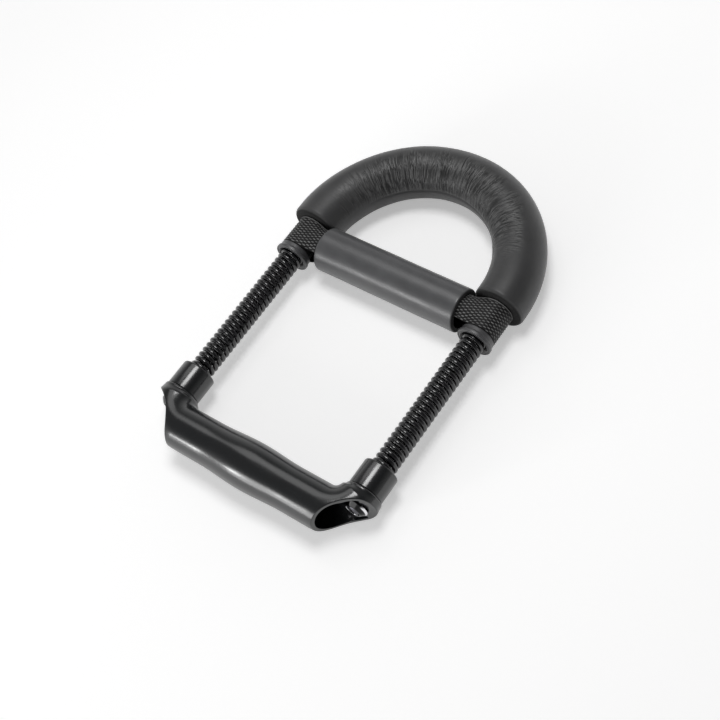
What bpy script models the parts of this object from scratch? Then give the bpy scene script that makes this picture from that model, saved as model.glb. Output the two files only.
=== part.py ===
"""Spring-loaded wrist exerciser.

A steel tube bent to a U, under a foam grip, goes over the forearm.  A foam pad on a webbing loop
crosses it below.  Two coil springs run from the tube's ends to a hollow moulded handle, and bend as
the hand turns the handle.

Metres, +Z up.  X runs along the handle and Y from the handle to the top of the U.  The origin is at
the middle of the footprint, on the surface that the object lies on.
"""

import math

import bmesh
import bpy
import numpy as np
from mathutils import Matrix, Vector

# Driving sizes: what is common to the pieces
leg_spacing = 0.1565
clearance = 0.0003
merge_distance = 0.000001

# Screws and washers inside the handle's open ends
screw_diameter = 0.005
screw_head_diameter = 0.0092
screw_head_height = 0.0024
screw_recess_depth = 0.0016
screw_recess_width = 0.0011
screw_recess_span = 0.0052
washer_diameter = 0.0184
washer_edge = 0.0008
washer_base = 0.0018
washer_rim_height = 0.002
washer_rim_width = 0.001
washer_head_room = 0.0004

# Plugs in the springs' ends, and the pins through the upper ones
plug_wall = 0.0015
plug_chamfer = 0.0008
lower_plug_length = 0.011
upper_plug_shank = 0.014
upper_plug_head = 0.0095
pin_diameter = 0.004

# Springs, close round their plugs
wire_diameter = 0.0037
spring_pitch = 0.00425
spring_visible = 0.1083
spring_in_collar = 0.012
spring_in_socket = 0.0142
spring_end_bend = 0.0024
spring_side_room = 0.0003
points_per_curl = 8

# Collars round the springs' upper ends
sleeve_wall = 0.00075
sleeve_length = 0.0175
collar_height = 0.0062
collar_overhang = 0.00125
collar_lip_width = 0.0008
collar_lip_height = 0.0024
collar_mouth_flare = 0.0015
collar_mouth_depth = 0.0022

# Frame tube round the collars' sleeves
tube_wall = 0.0008
arc_steps = 16

# Foam grip on the tube
foam_wall = 0.0077
foam_straight = 0.0085
foam_end_round = 0.003
rest_flat_depth = 0.0005

# Webbing loop round both legs of the tube
web_width = 0.0234
web_thickness = 0.0011
curl_before_pad = 0.003

# Foam pad on the webbing
pad_wall = 0.0035
pad_end_round = 0.0015

# Sockets round the springs' lower ends
socket_wall = 0.0035
socket_visible = 0.0192
socket_shoulder = 0.0008
socket_foot_length = 0.0032
socket_spigot_diameter = 0.015
socket_spigot_length = 0.004
socket_mouth_round = 0.0012

# Handle round the sockets' feet
handle_wall = 0.0028
floor_thickness = 0.0022
floor_to_grip = 0.0116
boss_lip_width = 0.001
boss_lip_round = 0.0012
boss_flare = 0.0017
boss_flare_length = 0.0055
elbow_fillet = 0.005
elbow_fill_start = 15
grip_over_boss = 0.0004
grip_swell = 0.0015
grip_swell_length = 0.07
scoop_depth = 0.0055
scoop_overrun = 0.0004
scoop_lean = 3

# Radii, from the screws outwards
half_spacing = leg_spacing / 2
hole_radius = screw_diameter / 2 + clearance
plug_radius = hole_radius + plug_wall
coil_radius = (plug_radius + clearance + wire_diameter / 2) / math.cos(math.pi / points_per_curl)
spring_bore = coil_radius + wire_diameter / 2 + spring_side_room
sleeve_radius = spring_bore + sleeve_wall
tube_bore = sleeve_radius + clearance
tube_radius = tube_bore + tube_wall
foam_radius = tube_radius + clearance + foam_wall
web_radius = tube_radius + clearance + web_thickness / 2
pad_bore = web_radius + web_thickness / 2 + clearance
pad_radius = pad_bore + pad_wall
socket_radius = spring_bore + socket_wall
socket_foot_radius = socket_radius - socket_shoulder
socket_spigot_radius = socket_spigot_diameter / 2
boss_mouth_radius = socket_radius + boss_lip_width
boss_root_radius = boss_mouth_radius + boss_flare
grip_end_radius = boss_root_radius + grip_over_boss

# Stations along Y, counted from the collars' faces, where the springs' upper ends show
y_plug_head = spring_in_collar + clearance
y_pin = y_plug_head + upper_plug_head / 2
y_web_low = collar_height + clearance
y_web_high = y_web_low + web_width
y_pad = (y_web_low + y_web_high) / 2
y_foam_end = y_web_high + clearance
y_arc = y_foam_end + foam_straight
y_top = y_arc + half_spacing + foam_radius
y_mouth = -spring_visible
y_cup_floor = y_mouth - spring_in_socket
y_boss = y_mouth - socket_visible - clearance
y_socket_foot = y_mouth - socket_visible - socket_foot_length
y_spigot = y_socket_foot - socket_spigot_length
y_floor_top = y_spigot - clearance
y_floor_bottom = y_floor_top - floor_thickness
y_grip = y_floor_bottom - floor_to_grip
y_bottom = y_grip - grip_end_radius - grip_swell

# Where those stations lie in the world
y_shift = -(y_top + y_bottom) / 2
z_centre = foam_radius - rest_flat_depth
along_leg = Matrix.Rotation(math.radians(-90), 4, "X")
along_grip = Matrix.Rotation(math.radians(90), 4, "Y")


# Scene helpers


def clear_scene():
    for obj in list(bpy.data.objects):
        bpy.data.objects.remove(obj, do_unlink=True)


def new_collection(name):
    collection = bpy.data.collections.new(name)
    bpy.context.scene.collection.children.link(collection)
    return collection


def finish(name, colour, roughness, metallic=0.0):
    """A Principled material with one colour."""
    made = bpy.data.materials.new(name)
    made.use_nodes = True
    shader = made.node_tree.nodes["Principled BSDF"]
    shader.inputs["Base Color"].default_value = (*colour, 1.0)
    shader.inputs["Roughness"].default_value = roughness
    shader.inputs["Metallic"].default_value = metallic
    made.diffuse_color = (*colour, 1.0)
    return made


def add(name, data, material, collection):
    obj = bpy.data.objects.new(name, data)
    collection.objects.link(obj)
    if material is not None:
        data.materials.append(material)
    return obj


def joint_empty(name, y):
    """An empty on a bend's axis, which runs along X through the springs' centrelines."""
    empty = bpy.data.objects.new(name, None)
    parts.objects.link(empty)
    empty.location = (0, y + y_shift, z_centre)
    return empty


def hang(obj, empty):
    """Parents an object to a joint's empty, and leaves it where it is."""
    bpy.context.view_layer.update()
    obj.parent = empty
    obj.matrix_parent_inverse = empty.matrix_world.inverted()


def as_cutter(obj):
    obj.hide_render = True
    obj.display_type = "WIRE"
    return obj


def at_leg(side):
    """Placement of a piece turned about a leg's axis, its own Z along the leg, towards the U."""
    return Matrix.Translation((side * half_spacing, y_shift, z_centre)) @ along_leg


def evaluated_mesh(obj):
    bpy.context.view_layer.update()
    graph = bpy.context.evaluated_depsgraph_get()
    return bpy.data.meshes.new_from_object(obj.evaluated_get(graph))


def settle(obj, sharp_angle=35):
    """Puts the result of an object's modifiers in its mesh, smooth but for its sharp edges."""
    mesh = evaluated_mesh(obj)
    mesh.name = obj.name
    obj.modifiers.clear()
    obj.data = mesh
    mesh.shade_smooth()
    mesh.set_sharp_from_angle(angle=math.radians(sharp_angle))
    return obj


def boolean(obj, other, operation):
    step = obj.modifiers.new(operation.lower() + " " + other.name, "BOOLEAN")
    step.operation = operation
    step.object = other
    return obj


# Shape helpers


def turned(name, profile, placement, steps, material, collection, closed=True):
    """A profile of (radius, height) points turned about the object's own Z.

    The points run down the outer side, and where the shape has a bore, up the inner side.
    """
    mesh = bpy.data.meshes.new(name)
    edges = [(i, i + 1) for i in range(len(profile) - 1)]
    if closed:
        edges.append((len(profile) - 1, 0))
    mesh.from_pydata([(radius, 0.0, height) for radius, height in profile], edges, [])
    obj = add(name, mesh, material, collection)
    obj.matrix_world = placement
    turn = obj.modifiers.new("turn", "SCREW")
    turn.angle = math.tau
    turn.steps = steps
    turn.render_steps = steps
    turn.use_merge_vertices = True
    turn.merge_threshold = merge_distance
    return obj


def cylinder(name, radius, length, placement, segments, material, collection):
    """A cylinder about the object's own Z, centred on it."""
    bm = bmesh.new()
    bmesh.ops.create_cone(
        bm, cap_ends=True, segments=segments, radius1=radius, radius2=radius, depth=length
    )
    mesh = bpy.data.meshes.new(name)
    bm.to_mesh(mesh)
    bm.free()
    obj = add(name, mesh, material, collection)
    obj.matrix_world = placement
    return obj


def box(name, size, placement, collection):
    bm = bmesh.new()
    bmesh.ops.create_cube(bm, size=1.0)
    bmesh.ops.scale(bm, vec=size, verts=bm.verts)
    mesh = bpy.data.meshes.new(name)
    bm.to_mesh(mesh)
    bm.free()
    obj = add(name, mesh, None, collection)
    obj.matrix_world = placement
    return obj


def swept_tube(name, points, radii, bevel_resolution, material, collection, twist="MINIMUM"):
    """A closed tube along a line of points, as a mesh.  Its section has 4 + 2 * bevel_resolution sides."""
    curve = bpy.data.curves.new(name, "CURVE")
    curve.dimensions = "3D"
    curve.twist_mode = twist
    curve.bevel_depth = 1.0
    curve.bevel_resolution = bevel_resolution
    curve.use_fill_caps = True
    spline = curve.splines.new("POLY")
    spline.points.add(len(points) - 1)
    for place, point, radius in zip(spline.points, points, radii):
        place.co = (*point, 1.0)
        place.radius = radius
    guide = bpy.data.objects.new(name + "_line", curve)
    collection.objects.link(guide)
    mesh = evaluated_mesh(guide)
    obj = add(name, mesh, material, collection)
    obj.matrix_world = guide.matrix_world.copy()
    bpy.data.objects.remove(guide)
    bm = bmesh.new()
    bm.from_mesh(mesh)
    bmesh.ops.remove_doubles(bm, verts=bm.verts, dist=merge_distance)
    bm.to_mesh(mesh)
    bm.free()
    return obj


def quarter_round(radius, size, steps):
    """(distance from the end, radius) of a tube whose end edge is rounded, from the end inwards."""
    angles = [math.pi / 2 * i / steps for i in range(steps + 1)]
    return [(size * (1 - math.cos(a)), radius - size + size * math.sin(a)) for a in angles]


# Frame: tube, foam grip, collars, plugs and pins


def u_line(start):
    """Points along the U's centreline, from station start on the left leg to the same on the right."""
    arc = [math.pi * (1 - i / arc_steps) for i in range(arc_steps + 1)]
    bend = [(half_spacing * math.cos(a), y_arc + half_spacing * math.sin(a)) for a in arc]
    line = [(-half_spacing, start), *bend, (half_spacing, start)]
    return [(x, y + y_shift, z_centre) for x, y in line]


def u_tube(name, radius, start, material, collection):
    line = u_line(start)
    return swept_tube(name, line, [radius] * len(line), 5, material, collection, "Z_UP")


def pin_hole(side):
    """Cutter for the pin's hole through a leg."""
    place = Matrix.Translation((side * half_spacing, y_shift + y_pin, z_centre))
    name = ("left" if side < 0 else "right") + "_pin_hole"
    return as_cutter(
        cylinder(name, pin_diameter / 2 + clearance, 4 * tube_radius, place, 16, None, cutters)
    )


def make_frame_tube():
    tube = u_tube("frame_tube", tube_radius, y_web_low, steel_black, parts)
    bore = as_cutter(u_tube("tube_bore", tube_bore, y_web_low - tube_radius, None, cutters))
    boolean(tube, bore, "DIFFERENCE")
    for hole in pin_holes.values():
        boolean(tube, hole, "DIFFERENCE")
    return settle(tube)


def make_foam_grip():
    """The foam sleeve on the U.  Its ends are rounded and its underside is pressed flat."""
    rounds = quarter_round(foam_radius, foam_end_round, 3)
    bend = u_line(y_foam_end)[1:-1]
    left = [(-half_spacing, y_foam_end + d + y_shift, z_centre) for d, r in rounds]
    right = [(half_spacing, y_foam_end + d + y_shift, z_centre) for d, r in reversed(rounds)]
    radii = [r for d, r in rounds]
    line = left + bend + right
    sizes = radii + [foam_radius] * len(bend) + radii[::-1]
    foam = swept_tube("u_foam_grip", line, sizes, 8, foam_charcoal, parts, "Z_UP")
    bore_start = y_foam_end - tube_radius
    bore = as_cutter(u_tube("foam_bore", tube_radius + clearance, bore_start, None, cutters))
    boolean(foam, bore, "DIFFERENCE")
    under = Matrix.Translation((0, 0, -foam_radius))
    ground = box("ground", (2 * leg_spacing, 4 * leg_spacing, 2 * foam_radius), under, cutters)
    boolean(foam, as_cutter(ground), "DIFFERENCE")
    return settle(foam)


def collar_profile():
    """A lipped cup in front of the tube's end, with a sleeve that goes into the tube."""
    body = tube_radius + collar_overhang
    lip = body + collar_lip_width
    edge = collar_lip_height / 4
    mouth = spring_bore + collar_mouth_flare
    sleeve_end = collar_height + sleeve_length
    return [
        (sleeve_radius, sleeve_end),
        (sleeve_radius, collar_height),
        (body, collar_height),
        (body, collar_lip_height + edge),
        (lip, collar_lip_height),
        (lip, edge),
        (lip - edge, 0),
        (mouth, 0),
        (mouth - edge, edge),
        (spring_bore, collar_mouth_depth),
        (spring_bore, sleeve_end),
    ]


def make_collar(side, name):
    collar = turned(name, collar_profile(), at_leg(side), 22, collar_plastic, parts)
    boolean(collar, pin_holes[side], "DIFFERENCE")
    return settle(collar)


def make_upper_plug(side, name):
    """A steel plug whose shank fills the spring's upper end, and whose head is pinned in the tube."""
    head_high = y_plug_head + upper_plug_head
    shank_low = y_plug_head - upper_plug_shank
    head = spring_bore - clearance
    edge = clearance
    profile = [
        (0, head_high),
        (head - edge, head_high),
        (head, head_high - edge),
        (head, y_plug_head),
        (plug_radius, y_plug_head),
        (plug_radius, shank_low + plug_chamfer),
        (plug_radius - plug_chamfer, shank_low),
        (0, shank_low),
    ]
    plug = turned(name, profile, at_leg(side), 16, zinc, parts, closed=False)
    boolean(plug, pin_holes[side], "DIFFERENCE")
    return settle(plug)


def make_pin(side, name):
    """A pin through the tube, the collar's sleeve and the plug's head, under the webbing."""
    place = Matrix.Translation((side * half_spacing, y_shift + y_pin, z_centre))
    length = 2 * (tube_radius - clearance)
    pin = cylinder(name, pin_diameter / 2, length, place, 16, zinc, parts)
    edge = pin.modifiers.new("edge", "BEVEL")
    edge.width = clearance
    edge.segments = 1
    edge.angle_limit = math.radians(60)
    return settle(pin)


# Webbing loop and cross pad


def strap_section(x):
    """How far the webbing curls across its width at x: 0 flat on a leg, 1 round inside the pad."""
    t = min(1.0, (half_spacing - abs(x)) / (foam_radius - curl_before_pad))
    return t * t * (3 - 2 * t)


def strap_point(x, side, v):
    """A point of the webbing's middle surface on the upper (side 1) or lower (side -1) run."""
    curl = strap_section(x)
    if curl < 0.001:
        return (x, y_pad + v, side * web_radius)
    bend = web_radius / curl
    y = bend * math.sin(v / bend)
    z = web_radius - bend * (1 - math.cos(v / bend))
    return (x, y_pad + y, side * z)


def strap_rows(widths):
    """Rows of points once round both legs, each row across the webbing's width."""
    wrap_steps = 10
    curl_steps = 4
    curl_length = foam_radius - curl_before_pad
    xs = [half_spacing - curl_length * i / curl_steps for i in range(curl_steps + 1)]
    run = xs + [-x for x in reversed(xs)]
    rows = [[strap_point(x, 1, v) for v in widths] for x in reversed(run)]
    for i in range(1, wrap_steps):
        a = math.pi / 2 - math.pi * i / wrap_steps
        x = half_spacing + web_radius * math.cos(a)
        rows.append([(x, y_pad + v, web_radius * math.sin(a)) for v in widths])
    rows += [[strap_point(x, -1, v) for v in widths] for x in run]
    for i in range(1, wrap_steps):
        a = -math.pi / 2 - math.pi * i / wrap_steps
        x = -half_spacing + web_radius * math.cos(a)
        rows.append([(x, y_pad + v, web_radius * math.sin(a)) for v in widths])
    return rows


def make_strap():
    """The webbing: a closed loop, flat round the legs and curled to the pad's bore between them."""
    across = 6
    widths = [web_width * (i / across - 0.5) for i in range(across + 1)]
    rows = strap_rows(widths)
    bm = bmesh.new()
    grid = [[bm.verts.new((x, y + y_shift, z + z_centre)) for x, y, z in row] for row in rows]
    for row, after in zip(grid, grid[1:] + grid[:1]):
        for i in range(across):
            bm.faces.new((row[i], row[i + 1], after[i + 1], after[i]))
    bmesh.ops.recalc_face_normals(bm, faces=bm.faces)
    mesh = bpy.data.meshes.new("web_strap")
    bm.to_mesh(mesh)
    bm.free()
    strap = add("web_strap", mesh, webbing_black, parts)
    shell = strap.modifiers.new("thickness", "SOLIDIFY")
    shell.thickness = web_thickness
    shell.offset = 0
    return settle(strap)


def make_cross_pad():
    """A foam tube on the webbing that just fits between the grip's two legs."""
    half = half_spacing - foam_radius - clearance
    edge = [(r, half - d) for d, r in quarter_round(pad_radius, pad_end_round, 3)]
    profile = edge + [(r, -h) for r, h in reversed(edge)] + [(pad_bore, -half), (pad_bore, half)]
    place = Matrix.Translation((0, y_shift + y_pad, z_centre)) @ along_grip
    return settle(turned("cross_foam_pad", profile, place, 26, foam_grey, parts))


# Springs


def spring_line(low, high):
    """Centreline of a left-hand spring about its own Z.

    Each end turns to run straight for one wire diameter.
    """
    lead = math.atan(spring_pitch / (math.tau * coil_radius))
    rise = spring_end_bend * math.cos(lead)
    first = low + wire_diameter + rise
    last = high - wire_diameter - rise
    turns = (last - first) / spring_pitch
    count = round(turns * points_per_curl)

    def on_coil(around, height):
        angle = around / coil_radius
        return Vector((coil_radius * math.cos(angle), -coil_radius * math.sin(angle), height))

    def end_bend(start, height, way):
        bend = []
        for tilt in (lead + (math.pi / 2 - lead) * i / 3 for i in (1, 2, 3)):
            around = start + way * spring_end_bend * (math.sin(tilt) - math.sin(lead))
            climb = height + way * spring_end_bend * (math.cos(lead) - math.cos(tilt))
            bend.append(on_coil(around, climb))
        tip = bend[-1] + Vector((0, 0, way * wire_diameter))
        return bend + [tip]

    length = turns * math.tau * coil_radius
    coil = [on_coil(length * i / count, first + (last - first) * i / count) for i in range(count + 1)]
    return end_bend(0, first, -1)[::-1] + coil + end_bend(length, last, 1)


def least_gap(points):
    """The least gap of a tube to itself, between points at least half a curl apart on the line."""
    line = np.array([tuple(p) for p in points])
    steps = np.linalg.norm(np.diff(line, axis=0), axis=1)
    along = np.concatenate([[0.0], np.cumsum(steps)])
    far = np.abs(along[:, None] - along[None, :]) > math.pi * coil_radius
    apart = np.linalg.norm(line[:, None, :] - line[None, :, :], axis=2)
    return apart[far].min() - wire_diameter


def make_spring(side, name):
    line = spring_line(y_cup_floor + clearance, spring_in_collar)
    place = at_leg(side)
    points = [place @ p for p in line]
    radii = [wire_diameter / 2] * len(points)
    spring = swept_tube(name, points, radii, 1, spring_black, parts)
    curls = (len(points) - 9) / points_per_curl
    print(f"{name}: {curls:.1f} curls, least gap to itself {least_gap(line) * 1000:.2f} mm")
    return settle(spring, 75)


# Handle: shell, sockets, plugs, washers and screws


def grip_radius(x):
    """Outer radius of the grip at x: a slow swell in the middle."""
    reach = min(1.0, abs(x) / (grip_swell_length / 2))
    return grip_end_radius + grip_swell * (1 + math.cos(math.pi * reach)) / 2


def grip_profile(offset, half_length):
    """Profile of the grip about its axis, offset outwards, closed on the axis at both ends."""
    swell_steps = 8
    half = grip_swell_length / 2
    xs = [half * (1 - 2 * i / swell_steps) for i in range(swell_steps + 1)]
    side = [half_length, *xs, -half_length]
    points = [(grip_radius(x) + offset, x) for x in side]
    return [(0, half_length), *points, (0, -half_length)]


def boss_profile():
    """Outer shape of the elbow's boss, from its rounded lip to inside the grip."""
    lip = [(r, y_boss - d) for d, r in quarter_round(boss_mouth_radius, boss_lip_round, 3)]
    flare_low = y_boss - boss_lip_round - boss_flare_length
    inside = y_grip - scoop_depth
    root = [(boss_root_radius, flare_low), (boss_root_radius, inside)]
    return [(0, y_boss), *lip, *root, (0, inside)]


def elbow_fill(side):
    """A bend that rounds the inner corner between boss and grip, just under their surfaces."""
    mouth = boss_mouth_radius - clearance
    grip = grip_end_radius - clearance
    reach_x = boss_mouth_radius + elbow_fillet
    reach_y = grip_end_radius + elbow_fillet
    centre = (half_spacing - reach_x, y_grip + reach_y)
    steps = 8
    points = []
    radii = []
    start = math.radians(elbow_fill_start)
    for i in range(steps + 1):
        a = start + (math.pi / 2 - start) * i / steps
        x = centre[0] + reach_x * math.cos(a)
        y = centre[1] - reach_y * math.sin(a)
        points.append((side * x, y + y_shift, z_centre))
        radii.append(mouth + (grip - mouth) * i / steps)
    name = ("left" if side < 0 else "right") + "_elbow_fill"
    return as_cutter(swept_tube(name, points, radii, 9, None, cutters, "Z_UP"))


def scoop(side):
    """Cutter for the hollowed slant across the handle's open end.

    It leans a few degrees, so that the lower edge of the opening reaches further out.
    """
    half_chord = math.sqrt(2) * boss_root_radius + scoop_overrun
    radius = (half_chord**2 + scoop_depth**2) / (2 * scoop_depth)
    out = (radius - scoop_depth) / math.sqrt(2)
    place = Matrix.Translation((side * (half_spacing + out), y_grip - out + y_shift, z_centre))
    place = place @ Matrix.Rotation(-math.radians(scoop_lean), 4, Vector((1, side, 0)))
    name = ("left" if side < 0 else "right") + "_scoop"
    return as_cutter(cylinder(name, radius, 4 * boss_root_radius, place, 64, None, cutters))


def make_handle_shell():
    """One hollow moulding: the grip, with an elbow and a boss at each end, open on a slant."""
    steps = 28
    place = Matrix.Translation((0, y_grip + y_shift, z_centre)) @ along_grip
    over = half_spacing + boss_mouth_radius - handle_wall
    outer = grip_profile(0, over)
    shell = turned("handle_shell", outer, place, steps, handle_gloss, parts, closed=False)
    for side, word in ((-1, "left"), (1, "right")):
        boss = turned(word + "_boss", boss_profile(), at_leg(side), steps, None, cutters, closed=False)
        boolean(shell, as_cutter(boss), "UNION")
        boolean(shell, elbow_fill(side), "UNION")
    inner = grip_profile(-handle_wall, half_spacing + 2 * boss_root_radius)
    cavity = turned("grip_cavity", inner, place, steps, None, cutters, closed=False)
    boolean(shell, as_cutter(cavity), "DIFFERENCE")
    chamber = boss_root_radius - handle_wall
    chamber_low = y_grip - 2 * scoop_depth
    half_step = Matrix.Rotation(math.pi / steps, 4, "Z")
    for side, word in ((-1, "left"), (1, "right")):
        pocket = [
            (0, y_boss + socket_visible),
            (socket_foot_radius + clearance, y_boss + socket_visible),
            (socket_foot_radius + clearance, y_socket_foot - clearance),
            (socket_spigot_radius + clearance, y_socket_foot - clearance),
            (socket_spigot_radius + clearance, y_floor_top),
            (hole_radius, y_floor_top),
            (hole_radius, y_floor_bottom),
            (chamber, y_floor_bottom),
            (chamber, chamber_low),
            (0, chamber_low),
        ]
        turned_on = at_leg(side) @ half_step
        bore = turned(word + "_pocket", pocket, turned_on, steps, None, cutters, closed=False)
        boolean(shell, as_cutter(bore), "DIFFERENCE")
        boolean(shell, scoop(side), "DIFFERENCE")
    return settle(shell)


def make_socket(side, name):
    """A moulded cup for the spring's lower end, with a narrower foot that sits in the boss."""
    edge = socket_mouth_round
    lip = [(r, y_mouth - d) for d, r in quarter_round(socket_radius, edge, 3)]
    shoulder = y_mouth - socket_visible
    profile = [
        *lip,
        (socket_radius, shoulder),
        (socket_foot_radius, shoulder),
        (socket_foot_radius, y_socket_foot),
        (socket_spigot_radius, y_socket_foot),
        (socket_spigot_radius, y_spigot),
        (hole_radius, y_spigot),
        (hole_radius, y_cup_floor),
        (spring_bore, y_cup_floor),
        (spring_bore, y_mouth - edge / 2),
        (spring_bore + edge / 2, y_mouth),
    ]
    return settle(turned(name, profile, at_leg(side), 24, handle_gloss, parts))


def make_lower_plug(side, name):
    """A threaded steel plug in the spring's lower end, which the screw draws down."""
    low = y_cup_floor + clearance
    high = low + lower_plug_length
    blind = high - plug_wall
    profile = [
        (0, high),
        (plug_radius - plug_chamfer, high),
        (plug_radius, high - plug_chamfer),
        (plug_radius, low),
        (hole_radius, low),
        (hole_radius, blind),
        (0, blind),
    ]
    return settle(turned(name, profile, at_leg(side), 16, zinc, parts, closed=False))


def make_washer(side, name):
    """A cup washer round the screw's head. It narrows to its rim, towards the open end."""
    radius = washer_diameter / 2
    hollow = screw_head_diameter / 2 + washer_head_room
    rim_radius = hollow + washer_rim_width
    top = y_floor_bottom - clearance
    base = top - washer_base
    rim = base - washer_rim_height
    edge = clearance
    profile = [
        (radius, top),
        (radius, top - washer_edge),
        (rim_radius, rim + edge),
        (rim_radius - edge, rim),
        (hollow + edge, rim),
        (hollow, rim + edge),
        (hollow, base),
        (hole_radius, base),
        (hole_radius, top),
    ]
    return settle(turned(name, profile, at_leg(side), 22, bright_plate, parts))


def make_screw(side, name):
    """A pan-head screw with a cross recess, from the handle's open end into the lower plug."""
    head_top = y_floor_bottom - clearance - washer_base - clearance
    head_low = head_top - screw_head_height
    tip = y_cup_floor + lower_plug_length - 2 * plug_wall
    shank = screw_diameter / 2
    head = screw_head_diameter / 2
    profile = [
        (0, tip),
        (shank - 2 * clearance, tip),
        (shank, tip - 2 * clearance),
        (shank, head_top),
        (head, head_top),
        (head, head_top - screw_head_height / 2),
        (head * 0.8, head_low + screw_head_height / 8),
        (head * 0.5, head_low),
        (0, head_low),
    ]
    screw = turned(name, profile, at_leg(side), 16, dark_steel, parts, closed=False)
    depth = 2 * screw_recess_depth
    for i, size in enumerate(((1, 0), (0, 1))):
        spans = [screw_recess_width + s * (screw_recess_span - screw_recess_width) for s in size]
        place = Matrix.Translation((side * half_spacing, head_low + y_shift, z_centre)) @ along_leg
        recess = box(f"{name}_recess_{i}", (spans[0], spans[1], depth), place, cutters)
        boolean(screw, as_cutter(recess), "DIFFERENCE")
    return settle(screw)


# Build

clear_scene()
parts = new_collection("wrist_exerciser")
cutters = new_collection("cutters")

foam_charcoal = finish("foam_charcoal", (0.055, 0.056, 0.06), 0.7)
foam_grey = finish("foam_grey", (0.09, 0.09, 0.098), 0.5)
webbing_black = finish("webbing_black", (0.02, 0.02, 0.021), 0.85)
collar_plastic = finish("collar_plastic", (0.035, 0.035, 0.038), 0.45)
handle_gloss = finish("handle_gloss", (0.018, 0.019, 0.021), 0.25)
spring_black = finish("spring_black", (0.012, 0.012, 0.014), 0.3, 0.6)
steel_black = finish("steel_black", (0.03, 0.03, 0.03), 0.4, 0.3)
zinc = finish("zinc", (0.55, 0.56, 0.58), 0.35, 1.0)
bright_plate = finish("bright_plate", (0.8, 0.8, 0.82), 0.18, 1.0)
dark_steel = finish("dark_steel", (0.06, 0.06, 0.065), 0.35, 0.9)

pin_holes = {side: pin_hole(side) for side in (-1, 1)}

make_frame_tube()
make_foam_grip()
make_strap()
make_cross_pad()
springs = []
handle_pieces = [make_handle_shell()]
for side, word in ((-1, "left"), (1, "right")):
    make_collar(side, word + "_collar")
    make_upper_plug(side, word + "_upper_plug")
    make_pin(side, word + "_collar_pin")
    springs.append(make_spring(side, word + "_spring"))
    handle_pieces.append(make_socket(side, word + "_socket"))
    handle_pieces.append(make_lower_plug(side, word + "_lower_plug"))
    handle_pieces.append(make_washer(side, word + "_washer"))
    handle_pieces.append(make_screw(side, word + "_screw"))

upper_bend = joint_empty("upper_bend", -spring_visible / 4)
lower_bend = joint_empty("lower_bend", -spring_visible * 3 / 4)
for obj in [lower_bend, *springs]:
    hang(obj, upper_bend)
for obj in handle_pieces:
    hang(obj, lower_bend)
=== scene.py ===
# %% [markdown]
# # A sprung wrist exerciser, from bare solids to its picture
# The exerciser lies on a table. Its foam grip goes over the forearm, its springs bend, and the hand
# turns its moulded handle. The solids, their sizes and their joints are already fixed in a frame.
# This lesson gives each piece its fine surface, its material and its light, and moves nothing.

# %% Load the fixed frame
import math

import bmesh
import bpy
import numpy as np
from mathutils import Matrix, Vector


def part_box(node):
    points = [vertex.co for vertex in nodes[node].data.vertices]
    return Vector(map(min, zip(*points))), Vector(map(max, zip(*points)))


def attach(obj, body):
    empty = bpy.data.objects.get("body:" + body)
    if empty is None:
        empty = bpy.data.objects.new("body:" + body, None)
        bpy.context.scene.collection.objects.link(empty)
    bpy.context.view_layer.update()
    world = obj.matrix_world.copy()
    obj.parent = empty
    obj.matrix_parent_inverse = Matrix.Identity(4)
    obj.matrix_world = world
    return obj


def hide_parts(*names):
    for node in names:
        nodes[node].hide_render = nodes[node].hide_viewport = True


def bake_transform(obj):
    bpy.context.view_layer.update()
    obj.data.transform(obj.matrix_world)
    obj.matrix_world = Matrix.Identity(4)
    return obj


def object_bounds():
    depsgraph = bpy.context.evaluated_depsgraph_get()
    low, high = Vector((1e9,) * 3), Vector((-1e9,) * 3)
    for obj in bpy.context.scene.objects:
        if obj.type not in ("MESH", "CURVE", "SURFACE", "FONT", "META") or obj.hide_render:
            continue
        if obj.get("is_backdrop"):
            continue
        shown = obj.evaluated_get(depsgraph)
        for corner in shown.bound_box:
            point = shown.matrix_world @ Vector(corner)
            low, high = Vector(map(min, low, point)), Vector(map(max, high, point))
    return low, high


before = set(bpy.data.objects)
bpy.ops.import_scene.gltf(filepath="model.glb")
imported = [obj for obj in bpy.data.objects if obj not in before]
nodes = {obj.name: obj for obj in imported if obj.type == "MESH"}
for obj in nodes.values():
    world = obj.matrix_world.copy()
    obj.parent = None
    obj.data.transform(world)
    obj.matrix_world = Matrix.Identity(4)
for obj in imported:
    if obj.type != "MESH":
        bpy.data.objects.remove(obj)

solid_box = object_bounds()
mm = 0.001
sides = {"left": -1, "right": 1}
print("nodes in the frame:", len(nodes))

# %% [markdown]
# ## The camera
# The photograph looks down on the exerciser from its right front, with a mild perspective. A camera
# can be placed by eye, but here its place, turn and lens come from matching the known round shapes
# of the U, the sockets and the handle with their outlines in the photograph.

# %% Camera at the photograph's viewing angle
def in_scene(name, data):
    """An object that holds a camera, a lamp or a mesh, linked to the scene."""
    obj = bpy.data.objects.new(name, data)
    bpy.context.scene.collection.objects.link(obj)
    return obj


camera_turn = (32.649, 12.340, 35.460)
camera_data = bpy.data.cameras.new("photo_camera")
camera_data.lens = 67.17
camera_data.sensor_width = 36
camera = in_scene("photo_camera", camera_data)
camera.location = (0.43288, -0.33524, 0.76231)
camera.rotation_euler = [math.radians(angle) for angle in camera_turn]
bpy.context.scene.camera = camera
bpy.context.scene.view_settings.view_transform = "Standard"
print("camera height over the table, m:", round(camera.location.z, 3))

# %% [markdown]
# ## Where everything lies
# The fine pieces stand in for some of the plain solids, so they have to sit exactly where those
# sit. Reading the places back from the solids' boxes is safer than typing them a second time: the
# leg's axis is the middle of a screw, the U's ends are the ends of the foam, and so on.

# %% Places and radii read from the frame
def middle(node):
    low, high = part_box(node)
    return (low + high) / 2


def half_size(node, axis=0):
    """Half of what a solid measures along X, or along another axis."""
    low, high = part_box(node)
    return (high[axis] - low[axis]) / 2


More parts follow.
